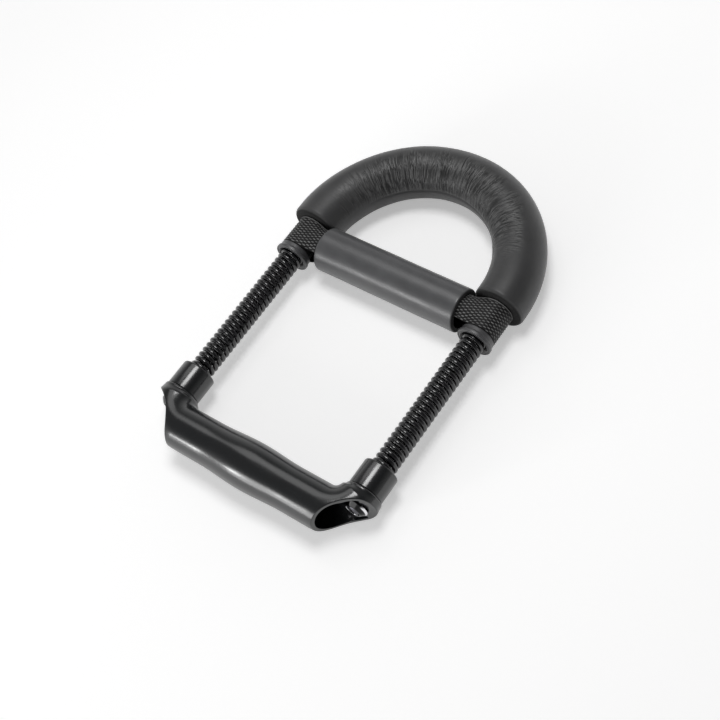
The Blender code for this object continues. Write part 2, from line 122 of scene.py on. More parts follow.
def ends(node):
    """A solid's lowest and highest Y. Y runs along the legs, from the handle to the bend."""
    low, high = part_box(node)
    return low.y, high.y


half_spacing = middle("right_screw").x
lie_height = middle("right_screw").z
foam_end, foam_top = ends("u_foam_grip")
foam_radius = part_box("u_foam_grip")[1].x - half_spacing
arc_start = foam_top - half_spacing - foam_radius
tube_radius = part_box("frame_tube")[1].x - half_spacing
clearance = 0.3 * mm
print("leg spacing, mm:", round(2 * half_spacing / mm, 2))
print("foam radius, mm:", round(foam_radius / mm, 2))


# %% [markdown]
# ## Turning a profile
# Collars, sockets, washers and screws are turned shapes. A Screw modifier could make them, but the
# rings are just as quick to lay one by one, and then each vertex keeps what the material needs to
# know. `rounded` softens a corner of a profile, because no moulded or turned edge is truly sharp.

# %% Pieces from points and rings
def piece(name, points, faces, material, sharp_angle=40):
    """An object from points and faces, its faces turned outwards and shaded smooth."""
    mesh = bpy.data.meshes.new(name)
    mesh.from_pydata([tuple(p) for p in points], [], faces)
    mesh.materials.append(material)
    bm = bmesh.new()
    bm.from_mesh(mesh)
    bmesh.ops.recalc_face_normals(bm, faces=bm.faces)
    bm.to_mesh(mesh)
    bm.free()
    mesh.shade_smooth()
    mesh.set_sharp_from_angle(angle=math.radians(sharp_angle))
    return in_scene(name, mesh)


def ringed(name, rings, material, sharp_angle=40, looped=True):
    """A closed piece from rings of points. The last ring meets the first, or both get a cap."""
    count, around = rings.shape[:2]
    faces = []
    for i in range(count if looped else count - 1):
        a, b = i * around, (i + 1) % count * around
        for j in range(around):
            k = (j + 1) % around
            faces.append((a + j, a + k, b + k, b + j))
    if not looped:
        faces.append(tuple(range(around)))
        faces.append(tuple(range((count - 1) * around, count * around)))
    return piece(name, rings.reshape(-1, 3), faces, material, sharp_angle)


def circle(count):
    """Evenly spaced angles, once round."""
    return np.linspace(0, math.tau, count, endpoint=False)


def places(x, y, z):
    """Points from their coordinates, each an array or one number for all."""
    return np.stack(np.broadcast_arrays(x, y, z), axis=-1)


def paint(obj, name, values, kind="FLOAT", field="value"):
    """Keeps a number for each vertex, for the material to read."""
    layer = obj.data.attributes.new(name, kind, "POINT")
    layer.data.foreach_set(field, np.asarray(values, np.float32).ravel())


def paint_place(obj, points):
    """Keeps each vertex's place on the flat or unbent surface, in metres."""
    paint(obj, "place", points, "FLOAT_VECTOR", "vector")


print("a point on a leg's axis:", places(half_spacing, 0, lie_height))


# %% Profiles and turned pieces
def rounded(corners, steps=4):
    """A profile from (radius, height, rounding) corners, each rounded as an arc of that size."""
    points = []
    count = len(corners)
    for i, (r, h, size) in enumerate(corners):
        here = np.array((r, h))
        if size <= 0:
            points.append(here)
            continue
        before = np.array(corners[i - 1][:2]) - here
        after = np.array(corners[(i + 1) % count][:2]) - here
        start = here + before / np.linalg.norm(before) * size
        end = here + after / np.linalg.norm(after) * size
        for t in np.linspace(0, 1, steps + 1):
            points.append((1 - t) ** 2 * start + 2 * t * (1 - t) * here + t**2 * end)
    return np.array(points)


def turned(name, corners, side, material, around=96):
    """A closed profile turned about a leg. Heights run along Y, and radii from the leg's axis."""
    angles = circle(around)
    r, h = np.split(rounded(corners), 2, axis=1)
    x = side * half_spacing + r * np.cos(angles)
    return ringed(name, places(x, h, lie_height + r * np.sin(angles)), material)


triangle = [(1, 0, 0.1), (2, 0, 0.1), (2, 1, 0.1)]
print("points round a triangle with soft corners:", len(rounded(triangle)))


# %% Cutting and dressing
def cutter(bm, side, y):
    """A block or drill from a bmesh, centred on a leg at a height along it."""
    mesh = bpy.data.meshes.new("cutter")
    bm.to_mesh(mesh)
    bm.free()
    obj = in_scene("cutter", mesh)
    obj.location = (side * half_spacing, y, lie_height)
    return obj


def cut(obj, cutter):
    """Cuts one mesh from another for good, and removes the cutter."""
    step = obj.modifiers.new("cut", "BOOLEAN")
    step.operation = "DIFFERENCE"
    step.object = cutter
    bpy.context.view_layer.update()
    graph = bpy.context.evaluated_depsgraph_get()
    mesh = bpy.data.meshes.new_from_object(obj.evaluated_get(graph))
    obj.modifiers.clear()
    obj.data = mesh
    bpy.data.objects.remove(cutter)


def dress(obj, body, slot, *replaced):
    """A fine piece rides on a body and stands for its plain solids, which it hides. The slot is not
    used.
    """
    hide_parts(*replaced)
    if body:
        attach(obj, body)
    print(obj.name, "has", len(obj.data.polygons), "faces")


# %% [markdown]
# ## Random but repeatable relief
# Wrinkles, dents and weave need random numbers that come out the same each time. `noise` lays
# random values on a square grid and blends them smoothly. Reading it with a stretched coordinate
# gives long thin marks, and that is all a crease or a scuff is.

# %% Noise and easing
def ease(x, low, high):
    """0 below low, 1 above high, and a smooth step between."""
    t = np.clip((x - low) / (high - low), 0, 1)
    return t * t * (3 - 2 * t)


def noise(x, y, seed, wrap=None):
    """Smooth random values from 0 to 1, one cell a unit. It repeats along y after wrap cells."""
    table = np.random.default_rng(seed).random((512, wrap or 512))
    xi, yi = np.floor(x).astype(int), np.floor(y).astype(int)
    fx, fy = x - xi, y - yi
    fx, fy = fx * fx * (3 - 2 * fx), fy * fy * (3 - 2 * fy)
    x0, x1 = xi % table.shape[0], (xi + 1) % table.shape[0]
    y0, y1 = yi % table.shape[1], (yi + 1) % table.shape[1]
    low = table[x0, y0] * (1 - fx) + table[x1, y0] * fx
    high = table[x0, y1] * (1 - fx) + table[x1, y1] * fx
    return low * (1 - fy) + high * fy


print("noise at a sample point:", round(float(noise(np.array(2.5), np.array(3.5), 1)), 3))


# %% [markdown]
# ## Building materials out of small parts
# A material is a tree of nodes, and writing each link out gets long. A few helpers keep it short:
# `fill` sets or links inputs, `node` adds a node, `clouds` is the soft random texture that most
# finishes start from, and `new_group` starts a reusable group. A group hands out colours, masks and
# heights, and the shader itself stays in the material.

# %% Node helpers
def fill(tree, sockets, values):
    """Links each socket to another node's output, or sets it to a plain value."""
    for key, value in values.items():
        if isinstance(value, bpy.types.NodeSocket):
            tree.links.new(value, sockets[key])
        else:
            sockets[key].default_value = value


def node(tree, kind, inputs=None, **settings):
    made = tree.nodes.new("ShaderNode" + kind)
    for name, value in settings.items():
        setattr(made, name, value)
    fill(tree, made.inputs, inputs or {})
    return made


def math_node(tree, operation, *values):
    return node(tree, "Math", dict(enumerate(values)), operation=operation).outputs[0]


def ranged(tree, value, from_low, from_high, to_low, to_high):
    inputs = {"Value": value, "From Min": from_low, "From Max": from_high}
    inputs |= {"To Min": to_low, "To Max": to_high}
    return node(tree, "MapRange", inputs).outputs["Result"]


def mixed(tree, factor, first, second):
    return node(tree, "Mix", {0: factor, 6: first, 7: second}, data_type="RGBA").outputs[2]


def clouds(tree, place, scale, detail):
    inputs = {"Vector": place, "Scale": scale, "Detail": detail}
    return node(tree, "TexNoise", inputs).outputs[0]


def swing(tree, cloud, low, high):
    """A cloud's values mostly lie between 0.3 and 0.7, and are spread from low to high."""
    return ranged(tree, cloud, 0.3, 0.7, low, high)


def stretched(tree, place, scale, turn=(0, 0, 0)):
    return node(tree, "Mapping", {"Vector": place, "Scale": scale, "Rotation": turn}).outputs[0]


def kept(tree, name, kind="Fac"):
    """What the mesh keeps under this name for each vertex."""
    return node(tree, "Attribute", attribute_name=name).outputs[kind]


def object_place(tree):
    return node(tree, "TexCoord").outputs["Object"]


def grey(level):
    return (level, level, level, 1)


print("a mid grey:", grey(0.5))

# %% Groups, materials and their surfaces
VECTOR, NUMBER, COLOUR = "NodeSocketVector", "NodeSocketFloat", "NodeSocketColor"


def new_group(name, inputs, outputs):
    """A shader group with named sockets. Returns its tree, what it is given and what it gives."""
    tree = bpy.data.node_groups.new(name, "ShaderNodeTree")
    for title, kind, value in inputs:
        socket = tree.interface.new_socket(name=title, in_out="INPUT", socket_type=kind)
        socket.default_value = value
    for title, kind in outputs:
        tree.interface.new_socket(name=title, in_out="OUTPUT", socket_type=kind)
    given, gives = tree.nodes.new("NodeGroupInput"), tree.nodes.new("NodeGroupOutput")
    print("group", name, "gives", [title for title, kind in outputs])
    return tree, given.outputs, gives.inputs


def use_group(tree, group, inputs):
    return node(tree, "Group", inputs, node_tree=group).outputs


def new_material(name, **constants):
    """A material with its Principled shader, whose plain settings are set on its own sockets."""
    made = bpy.data.materials.new(name)
    made.use_nodes = True
    tree = made.node_tree
    shader = tree.nodes["Principled BSDF"]
    for key, value in constants.items():
        shader.inputs[key.replace("_", " ")].default_value = value
    print("material:", name)
    return made, tree, shader


def surface(tree, shader, colour, rough, height, strength, distance):
    """Gives a shader its colour and roughness, and a bump from a height."""
    bump = node(tree, "Bump", {"Height": height, "Strength": strength, "Distance": distance})
    inputs = {"Base Color": colour, "Roughness": rough, "Normal": bump.outputs[0]}
    fill(tree, shader.inputs, inputs)


print("kinds of socket:", VECTOR, NUMBER, COLOUR)


# %% [markdown]
# ## Grain
# No surface is perfectly even: foam skin, moulded plastic and paint all carry a fine grain that
# breaks up the light. One group serves them all. Its inputs set how fine the grain is and between
# which two roughnesses it swings, and it also hands out a height for a bump.

# %% Shared group: grain
anywhere = ("Place", VECTOR, (0, 0, 0))
grain, given, gives = new_group(
    "grain",
    [anywhere, ("Scale", NUMBER, 1000), ("Low", NUMBER, 0.4), ("High", NUMBER, 0.6)],
    [("Roughness", NUMBER), ("Height", NUMBER), ("Shade", NUMBER)],
)
fine = clouds(grain, given["Place"], given["Scale"], 3.0)
broad_scale = math_node(grain, "MULTIPLY", given["Scale"], 0.06)
broad = clouds(grain, given["Place"], broad_scale, 2.0)
both = math_node(grain, "ADD", fine, broad)
spread = ranged(grain, both, 0.7, 1.3, given["Low"], given["High"])
fill(grain, gives, {"Roughness": spread, "Height": fine, "Shade": broad})

# %% [markdown]
# ## Marks of handling
# Gloss shows every scuff. Short thin scratches come from a noise that is stretched a lot along one
# direction and cut off high, so that only its crests remain. The group gives a mask, and each
# material decides what a scratch does to it.

# %% Shared group: scuffs
scuffs, given, gives = new_group(
    "scuffs",
    [anywhere, ("Scale", NUMBER, 60), ("Amount", NUMBER, 0.5)],
    [("Mask", NUMBER)],
)
strokes = []
for turn in (0.5, 2.1):
    drawn_out = stretched(scuffs, given["Place"], (1.0, 14.0, 14.0), (0.3, turn, turn))
    streak = clouds(scuffs, drawn_out, given["Scale"], 1.0)
    strokes.append(ranged(scuffs, streak, 0.66, 0.74, 0.0, 1.0))
most = math_node(scuffs, "MAXIMUM", *strokes)
fill(scuffs, gives, {"Mask": math_node(scuffs, "MULTIPLY", most, given["Amount"])})

# %% [markdown]
# ## Foam skin
# Both foams are closed-cell tubes with a smooth skin. Where the tube is cut to length, the skin is
# gone and the open cells look darker and rougher. Creases are modelled in the mesh, and the group
# also paints their light and shade: their floors darken a little as painted shade, and their crests
# grey as a painted highlight.

# %% Shared group: foam skin
foam_skin, given, gives = new_group(
    "foam_skin",
    [
        anywhere,
        ("Skin", COLOUR, grey(0.06)),
        ("Cells and crease shade", COLOUR, grey(0.02)),
        ("Crest highlight", COLOUR, grey(0.1)),
        ("Crease", NUMBER, 0),
        ("Raised", NUMBER, 0),
        ("Cut", NUMBER, 0),
    ],
    [("Colour", COLOUR), ("Height", NUMBER)],
)
cell = node(foam_skin, "TexVoronoi", {"Vector": given["Place"], "Scale": 2600.0})
cell_height = math_node(foam_skin, "MULTIPLY", cell.outputs["Distance"], given["Cut"])
mottle = swing(foam_skin, clouds(foam_skin, given["Place"], 90.0, 3.0), 0.90, 1.10)
shaded = node(foam_skin, "VectorMath", {0: given["Skin"], "Scale": mottle}, operation="SCALE")
# Painted highlight on the crests, then painted shade in the crease floors, which take the dark
# colour of the open cells.
raised = mixed(foam_skin, given["Raised"], shaded.outputs["Vector"], given["Crest highlight"])
sunken = mixed(foam_skin, given["Crease"], raised, given["Cells and crease shade"])
finished = mixed(foam_skin, given["Cut"], sunken, given["Cells and crease shade"])
skin_grain = clouds(foam_skin, given["Place"], 2200.0, 2.0)
skin_height = math_node(foam_skin, "MULTIPLY", skin_grain, 0.25)
height = math_node(foam_skin, "ADD", skin_height, cell_height)
fill(foam_skin, gives, {"Colour": finished, "Height": height})

# %% [markdown]
# ## Turning marks
# The plugs, washers and screws are turned or stamped metal. A lathe leaves rings round the axis,
# and their axes all run along Y. So a noise that changes quickly along Y and slowly across it draws
# those rings without asking where each axis is. The pins lie across, but the webbing hides them.

# %% Shared group: turning marks
turning, given, gives = new_group(
    "turning_marks",
    [anywhere, ("Low", NUMBER, 0.2), ("High", NUMBER, 0.4)],
    [("Roughness", NUMBER), ("Height", NUMBER)],
)
drawn_out = stretched(turning, given["Place"], (80.0, 6000.0, 80.0))
rings = clouds(turning, drawn_out, 1.0, 2.0)
lathe = swing(turning, rings, given["Low"], given["High"])
fill(turning, gives, {"Roughness": lathe, "Height": rings})
print("shared groups:", [g.name for g in bpy.data.node_groups])


# %% [markdown]
# ## The two foams
# The charcoal foam of the grip is matte with a soft sheen, and the foam of the cross pad is a
# little lighter and more satin. They share the foam skin group and differ in their colours and
# in how strongly the skin shines.

# %% Materials: foams
# The open cells' own dark colour, also used as the painted shade in the crease floors.
cells_and_crease_shade = grey(0.006)


def foam_material(name, shine, skin_colour, crest_highlight, low, high):
    made, tree, shader = new_material(
        name, Specular_IOR_Level=shine, Sheen_Weight=0.2, Sheen_Roughness=0.35
    )
    place, cut_end = kept(tree, "place", "Vector"), kept(tree, "cut_end")
    colours = {"Skin": skin_colour, "Crest highlight": crest_highlight, "Cells and crease shade": cells_and_crease_shade}
    marks = {"Crease": kept(tree, "crease"), "Raised": kept(tree, "crest"), "Cut": cut_end}
    foam = use_group(tree, foam_skin, {"Place": place, **colours, **marks})
    even = use_group(tree, grain, {"Place": place, "Scale": 700.0, "Low": low, "High": high})
    cut_rough = math_node(tree, "MULTIPLY", cut_end, 0.95)
    rough = math_node(tree, "MAXIMUM", even["Roughness"], cut_rough)
    surface(tree, shader, foam["Colour"], rough, foam["Height"], 0.3, 0.2 * mm)
    return made


# The charcoal foam's crests get a lighter grey as a painted highlight. The grey foam's crests keep
# its skin colour.
charcoal = foam_material("charcoal_foam", 0.5, (0.046, 0.046, 0.047, 1), grey(0.098), 0.38, 0.5)
grey_skin = (0.086, 0.087, 0.090, 1)
grey_foam = foam_material("grey_foam", 0.75, grey_skin, grey_skin, 0.30, 0.40)


# %% [markdown]
# ## Webbing
# The loop is woven from thick black polyester. The mesh carries the floats, and the material reads
# how high each vertex stands. It paints the tops of the floats grey as a painted sheen and the
# places where the yarns dive almost black as painted shade, and adds the fine fibres of the yarn.

# %% Material: webbing
webbing, tree, shader = new_material("black_webbing", Specular_IOR_Level=0.3)
# Painted sheen and shade: the higher a vertex stands on a float, the lighter grey its colour, and
# where the yarns dive it goes almost black.
high_yarn = math_node(tree, "POWER", kept(tree, "float"), 1.7)
painted_yarn_sheen_and_shade = mixed(tree, high_yarn, grey(0.003), grey(0.30))
along_yarn = stretched(tree, kept(tree, "place", "Vector"), (600.0, 7000.0, 1.0))
fibres = clouds(tree, along_yarn, 1.0, 2.0)
surface(tree, shader, painted_yarn_sheen_and_shade, swing(tree, fibres, 0.45, 0.7), fibres, 0.5, 0.1 * mm)


# %% [markdown]
# ## Moulded plastics
# The handle and the sockets come out of a polished mould and stay glossy. The collars come out of a
# duller one. Both take the grain and the scuffs, and a scuff leaves the plastic a little paler and
# rougher.

# %% Materials: plastics
def plastic_material(name, colour, low, high, scratch, bump_size):
    made, tree, shader = new_material(name, Specular_IOR_Level=0.9)
    place = object_place(tree)
    even = use_group(tree, grain, {"Place": place, "Scale": 900.0, "Low": low, "High": high})
    worn = use_group(tree, scuffs, {"Place": place, "Scale": 55.0, "Amount": scratch})["Mask"]
    pale = tuple(min(1.0, c * 3 + 0.03) for c in colour[:3]) + (1,)
    shade = mixed(tree, worn, colour, pale)
    rough = math_node(tree, "ADD", even["Roughness"], math_node(tree, "MULTIPLY", worn, 0.2))
    surface(tree, shader, shade, rough, even["Height"], bump_size, 0.1 * mm)
    return made


gloss_black = (0.009, 0.010, 0.011, 1)
satin_black = (0.055, 0.055, 0.058, 1)
gloss_plastic = plastic_material("glossy_black_plastic", gloss_black, 0.18, 0.23, 0.08, 0.008)
satin_plastic = plastic_material("satin_black_plastic", satin_black, 0.34, 0.46, 0.2, 0.06)


# %% [markdown]
# ## Painted and bare metal
# The springs are glossy black paint over steel wire, and nearly even in colour. The tube inside the
# foam has duller paint. The plugs and pins are zinc, the washers bright nickel and the screws
# blackened steel, and those three share the turning marks. A mesh can keep a mask for painted
# shade, which darkens the metal's colour where shade falls, and only the washers do.

# %% Materials: metals
def painted_material(name, colour, low, high, shine):
    made, tree, shader = new_material(name, Specular_IOR_Level=shine)
    grain_values = {"Place": object_place(tree), "Scale": 1500.0, "Low": low, "High": high}
    even = use_group(tree, grain, grain_values)
    lighter = tuple(c * 1.6 for c in colour[:3]) + (1,)
    shade = mixed(tree, ranged(tree, even["Shade"], 0.35, 0.65, 0.0, 1.0), colour, lighter)
    surface(tree, shader, shade, even["Roughness"], even["Height"], 0.05, 0.1 * mm)
    return made


def turned_metal(name, colour, low, high):
    made, tree, shader = new_material(name, Metallic=1.0)
    # Where a mesh keeps the painted shade mask, the metal's colour is painted dark as shade.
    shade = mixed(tree, kept(tree, "painted_shade"), colour, grey(0.02))
    marks = use_group(tree, turning, {"Place": object_place(tree), "Low": low, "High": high})
    surface(tree, shader, shade, marks["Roughness"], marks["Height"], 0.1, 0.05 * mm)
    return made


spring_paint = painted_material("spring_paint", (0.004, 0.004, 0.005, 1), 0.1, 0.18, 0.8)
tube_paint = painted_material("tube_paint", grey(0.03), 0.32, 0.48, 0.5)
zinc = turned_metal("zinc_plate", (0.55, 0.56, 0.58, 1), 0.28, 0.42)
nickel = turned_metal("bright_plate", (0.80, 0.80, 0.82, 1), 0.10, 0.22)
black_steel = turned_metal("blackened_steel", (0.10, 0.10, 0.11, 1), 0.28, 0.42)

plain_finishes = {"frame_tube": tube_paint}
for word in sides:
    for part in ("_upper_plug", "_lower_plug", "_collar_pin"):
        plain_finishes[word + part] = zinc
for name, finish in plain_finishes.items():
    nodes[name].data.materials.clear()
    nodes[name].data.materials.append(finish)
print("solids kept with a new finish:", len(plain_finishes))


# %% [markdown]
# ## The foam grip
# A straight foam sleeve was pushed over the bent tube. On the inside of the bend it is squeezed, so
# its skin gathers in fine creases and bulges a little, while the outside is stretched thin. A
# bump texture would leave the outline smooth, so the creases are pressed into a fine mesh. The mesh
# is a bent tube: rings along the U, closed through its bore. In the bend the whole skin also sits a
# little further in, as its outline in the photograph does. Places along the bend are angles in
# radians, 0 at its left end and pi at its right one.

# %% Foam grip: creases and their places
crease_gap = 1.0 * mm
crease_length = 11 * mm
crease_depth = 0.5 * mm
fold_place = 0.10
fold_width = 0.045
strip_under = 0.7
rag = 0.35
creases_start = (-0.10, 0.80)
creases_end = (-2.95, -2.45)     # of minus the angle
u_straight = arc_start - foam_end
u_length = 2 * u_straight + math.pi * half_spacing


def along_u(s):
    """Centre and outward direction of the U's centreline, s from its left end."""
    turn = np.clip((s - u_straight) / half_spacing, 0, math.pi)
    angle = math.pi - turn
    past = s - u_straight - turn * half_spacing
    out = np.stack([np.cos(angle), np.sin(angle)], axis=-1)
    centre = half_spacing * out + np.array((0, arc_start))
    way = np.stack([np.sin(angle), -np.cos(angle)], axis=-1)
    return centre + past[:, None] * way, out


def patches(s, w, length, cells, seed):
    """Noise with cells of a length along the sleeve, and a whole number of them round it."""
    return noise(s / length, w * cells, seed, cells)


def creases(u, w, length, seed):
    """1 in a crease and 0 on the pillows between creases, which run round the sleeve."""
    level = patches(u, w, crease_gap, round(math.tau * foam_radius / length), seed)
    return 1 - ease(np.abs(2 * level - 1), 0.03, 0.36)


def crease_map(s, around):
    """How far the skin is drawn in, and how creased the place is, both from 0 to 1."""
    w = around / math.tau
    sway = patches(s, w, 9 * mm, 14, 11) - 0.5
    lean = patches(s, w, 34 * mm, 5, 12) - 0.5
    u = s + 1.8 * mm * sway + 3 * mm * lean
    main = creases(u, w, crease_length, 13)
    fine = creases(1.6 * u, w, 0.5 * crease_length, 14)
    strength = 0.55 + 0.45 * patches(s, w, 6 * mm, 16, 17)
    ragged = patches(s, w, 5 * mm, 20, 15) - 0.5
    bend = (s - u_straight) / half_spacing
    over_bend = ease(bend + rag * ragged, *creases_start)
    over_bend = over_bend * ease(-bend + rag * ragged, *creases_end)
    inside = np.where(around < math.pi, math.pi - around, around - math.pi - strip_under)
    girth_end = 1.15 + 0.4 * ease(bend, 0.1, 0.9)
    over_girth = 1 - ease(inside + 0.45 * ragged, girth_end, girth_end + 0.45)
    over_girth = over_girth * ease(inside, fold_place, fold_place + 0.15)
    creased = over_bend * over_girth
    drawn_in = creased * strength * np.maximum(main, 0.7 * fine)
    fold_sway = 0.05 * (noise(s / (14 * mm), 0 * s, 18) - 0.5)
    fold = np.exp(-(((inside - fold_place - fold_sway) / fold_width) ** 2))
    fold = fold * ease(bend, 0.35, 0.8) * ease(-bend, -2.6, -2.2)
    return np.maximum(drawn_in, fold), creased


rings_along = round(u_length / (0.26 * mm))
print("foam rings:", rings_along)

# %% A foam sleeve's closed section
def sleeve_section(start, end, outer, bore, edge, counts):
    """Places along a sleeve, their radii, and 1 on its skin: outside, end, bore and other end."""
    skin_count, edge_count, face_count, bore_count = counts
    quarter = np.linspace(0, math.pi / 2, edge_count + 1)[1:]
    inset = edge * (1 - np.sin(quarter))
    edge_r = outer - edge * (1 - np.cos(quarter))
    face_r = np.linspace(edge_r[-1], bore, face_count + 1)[1:]
    skin = np.linspace(start + edge, end - edge, skin_count)
    inner = np.linspace(end, start, bore_count)
    first, last = np.full(face_count, start), np.full(face_count, end)
    s = np.concatenate([skin, end - inset, last, inner, first, start + inset[::-1]])
    out_r, in_r = np.full(skin_count, outer), np.full(bore_count, bore)
    r = np.concatenate([out_r, edge_r, face_r, in_r, face_r[::-1], edge_r[::-1]])
    runs = (skin_count + edge_count, 2 * face_count + bore_count, edge_count)
    return s, r, np.repeat((1.0, 0.0, 1.0), runs)


def mark_sleeve(obj, s, around, outer, radius, is_cut):
    """Keeps where the sleeve was cut to length, and each vertex's place on it unrolled."""
    paint(obj, "cut_end", np.repeat(is_cut, len(around)))
    paint_place(obj, places(s[:, None], outer * around, radius))


print("rings of a small sleeve:", len(sleeve_section(0, 1, 0.2, 0.1, 0.05, (4, 2, 1, 2))[0]))

# %% Foam grip: mesh
end_round = 3 * mm
dent_depth = 0.25 * mm
squeeze = 1.3 * mm
squeeze_start = (-0.1, 0.6)
around = circle(128)
s_all, r_all, is_skin = sleeve_section(
    0, u_length, foam_radius, tube_radius + clearance, end_round, (rings_along, 8, 4, 60)
)
centre, out = along_u(s_all)
depth, creased = crease_map(s_all[:, None], around[None, :])
depth, creased = depth * is_skin[:, None], creased * is_skin[:, None]
dents = patches(s_all[:, None], around[None, :] / math.tau, 16 * mm, 9, 16)
radius = r_all[:, None] - is_skin[:, None] * (crease_depth * depth + dent_depth * dents)
bend = (s_all - u_straight) / half_spacing
gathered = squeeze * ease(bend, *squeeze_start) * ease(math.pi - bend, *squeeze_start) * is_skin
reach = radius * np.cos(around) - gathered[:, None]
xy = centre[:, None, :] + reach[..., None] * out[:, None, :]
z = np.maximum(lie_height + radius * np.sin(around), 0.0)
foam = ringed("u_foam_skin", np.concatenate([xy, z[..., None]], axis=-1), charcoal, 80)
# The crease and crest masks tell the material where to paint shade in the floors and a highlight on
# the crests.
paint(foam, "crease", depth)
paint(foam, "crest", creased * (1 - depth) ** 2)
is_end = r_all < foam_radius - 0.2 * end_round
is_cut = np.clip((foam_radius - r_all) / (end_round * 0.5) * is_end, 0, 1)
mark_sleeve(foam, s_all, around, foam_radius, radius, is_cut)
dress(foam, "frame", "foam_charcoal", "u_foam_grip")


# %% [markdown]
# ## The cross pad
# The pad is a short foam tube that turns freely on the webbing. It is smooth, but a hand-cut foam
# tube is never quite true, so its radius wanders by a tenth of a millimetre or two, and its end
# edges are a little rounded. Its long highlights then waver as they do on the real pad.

# %% Cross pad
pad_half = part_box("cross_foam_pad")[1].x
pad_radius = half_size("cross_foam_pad", 2)
pad_line = middle("cross_foam_pad").y
pad_edge = 1.5 * mm
pad_wall = 3.5 * mm
wander_depth = 0.22 * mm
past_zero = 40
around = circle(120)
x_all, r_all, is_skin = sleeve_section(
    -pad_half, pad_half, pad_radius, pad_radius - pad_wall, pad_edge, (120, 6, 3, 30)
)
w = around[None, :] / math.tau
wander = noise(x_all[:, None] / (22 * mm) + past_zero, w * 6, 21, 6)
wander += 0.35 * noise(x_all[:, None] / (7 * mm) + past_zero, w * 14, 22, 14)
radius = r_all[:, None] - is_skin[:, None] * wander_depth * wander
y, z = pad_line - radius * np.cos(around), lie_height + radius * np.sin(around)
pad = ringed("cross_pad_skin", places(x_all[:, None], y, z), grey_foam, 80)
is_cut = np.clip((pad_radius - r_all) / (pad_edge * 0.4), 0, 1)
mark_sleeve(pad, x_all, around, pad_radius, radius, is_cut)
dress(pad, "frame", "foam_grey", "cross_foam_pad")


# %% [markdown]
# ## The webbing loop
# One band of webbing runs round both legs and through the pad, flat on the legs and curled to the
# pad's bore between them. It is held tight, so it is modelled straight from that path instead of by
# a cloth simulation. Each yarn comes up once in about five millimetres, and its neighbour half of
# that later, which gives the slanting rows of dashes that coarse webbing shows. A straight yarn
# closes the weave along the edge nearer the bend.

# %% Webbing: the path of its middle surface
web_low, web_high = ends("web_strap")
web_width = web_high - web_low
web_line = (web_low + web_high) / 2
web_thickness = 1.1 * mm
web_radius = tube_radius + clearance + web_thickness / 2
web_edge = 0.4 * mm
curl_length = foam_radius - 3 * mm
into_pad = pad_half - 2 * mm
shown_rows, hidden_rows, turn_rows = 54, 28, 94
yarn_width = 1.14 * mm
float_length = 5.3 * mm
relief = 0.34 * mm


def web_point(x, side, v):
    """A point of the middle surface of the upper (1) or lower (-1) run, v across the band."""
    t = min(1.0, (half_spacing - abs(x)) / curl_length)
    curl = t * t * (3 - 2 * t)
    if curl < 0.001:
        return places(x, v, side * web_radius)
    bend = web_radius / curl
    z = web_radius - bend * (1 - np.cos(v / bend))
    return places(x, bend * np.sin(v / bend), side * z)


def web_rows(v):
    """Rows across the band once round both legs: fine where the loop shows, coarse in the pad."""
    shown = np.linspace(half_spacing, into_pad, shown_rows)
    hidden = np.linspace(into_pad, -into_pad, hidden_rows + 2)[1:-1]
    run = np.concatenate([shown, hidden, -shown[::-1]])
    rows = []
    for side in (1, -1):
        rows += [web_point(x, side, v) for x in run[::-side]]
        for a in np.linspace(math.pi / 2, -math.pi / 2, turn_rows + 2)[1:-1]:
            x, z = half_spacing + web_radius * math.cos(a), web_radius * math.sin(a)
            rows.append(places(side * x, v, side * z))
    return np.array(rows)


columns = 64
across = np.linspace(-web_width / 2 + web_edge, web_width / 2 - web_edge, columns)
webs = web_rows(across)
step_along = np.roll(webs, -1, axis=0) - np.roll(webs, 1, axis=0)
normal = np.cross(np.gradient(webs, axis=1), step_along)
normal /= np.linalg.norm(normal, axis=-1, keepdims=True)
beyond_leg = (np.abs(webs) > half_spacing) * webs * np.array((1, 0, 0))
from_axis = webs * np.array((0, 0, 1)) + beyond_leg
normal *= np.sign(np.sum(normal * from_axis, axis=-1, keepdims=True))
centre_line = webs[:, columns // 2]
moved = np.linalg.norm(centre_line[1:] - centre_line[:-1], axis=-1)
loop_place = np.concatenate([[0.0], np.cumsum(moved)])
print("webbing loop, mm:", round(float(loop_place[-1] / mm), 1))

# %% Webbing: floats and the closed band
column = np.floor(across / yarn_width)
yarn_round = np.sin(math.pi * (across / yarn_width - column)) ** 1.5
start = loop_place[:, None] / float_length + 0.5 * (column % 2)
dive = 0.5 + 0.5 * np.cos(math.tau * start)
slack = 0.75 + 0.5 * noise(loop_place[:, None] / float_length, column[None, :] + 40, 31)
floats = np.clip(yarn_round * ease(dive, 0.35, 0.9) * slack, 0, 1)
from_side = (web_width / 2 - across) / yarn_width
selvedge = np.exp(-(((from_side - 0.75) / 0.34) ** 2))
floats = np.maximum(floats * ease(from_side, 1.3, 2.0), selvedge)
top = webs + normal * (web_thickness / 2 - relief * (1 - floats))[..., None]
under = webs[:, ::-1] - normal[:, ::-1] * (web_thickness / 2)
low_edge = webs[:, :1] + np.array((0, -web_edge, 0))
high_edge = webs[:, -1:] + np.array((0, web_edge, 0))
band = np.concatenate([top, high_edge, under, low_edge], axis=1)
strap = ringed("webbing_loop", band + np.array((0, web_line, lie_height)), webbing, 80)
# These levels also set the painted sheen of the band's edges and underside.
edge_height = np.full((len(loop_place), 1), 0.1)
heights = [floats, edge_height, np.full(floats.shape, 0.3), edge_height]
paint(strap, "float", np.concatenate(heights, axis=1))
v_all = np.concatenate([across, across[-1:], across[::-1], across[:1]])
paint_place(strap, places(loop_place[:, None], v_all, 0))
dress(strap, "frame", "webbing_black", "web_strap")


# %% [markdown]
# ## Collars
# A collar is a moulded cup in front of the tube's end, with a sleeve pushed inside the tube and a
# pin through it. The lip at its mouth is the part that shows, and its rounded edges catch a thin
# ring of light. It is turned from a rounded profile and then drilled for the pin.

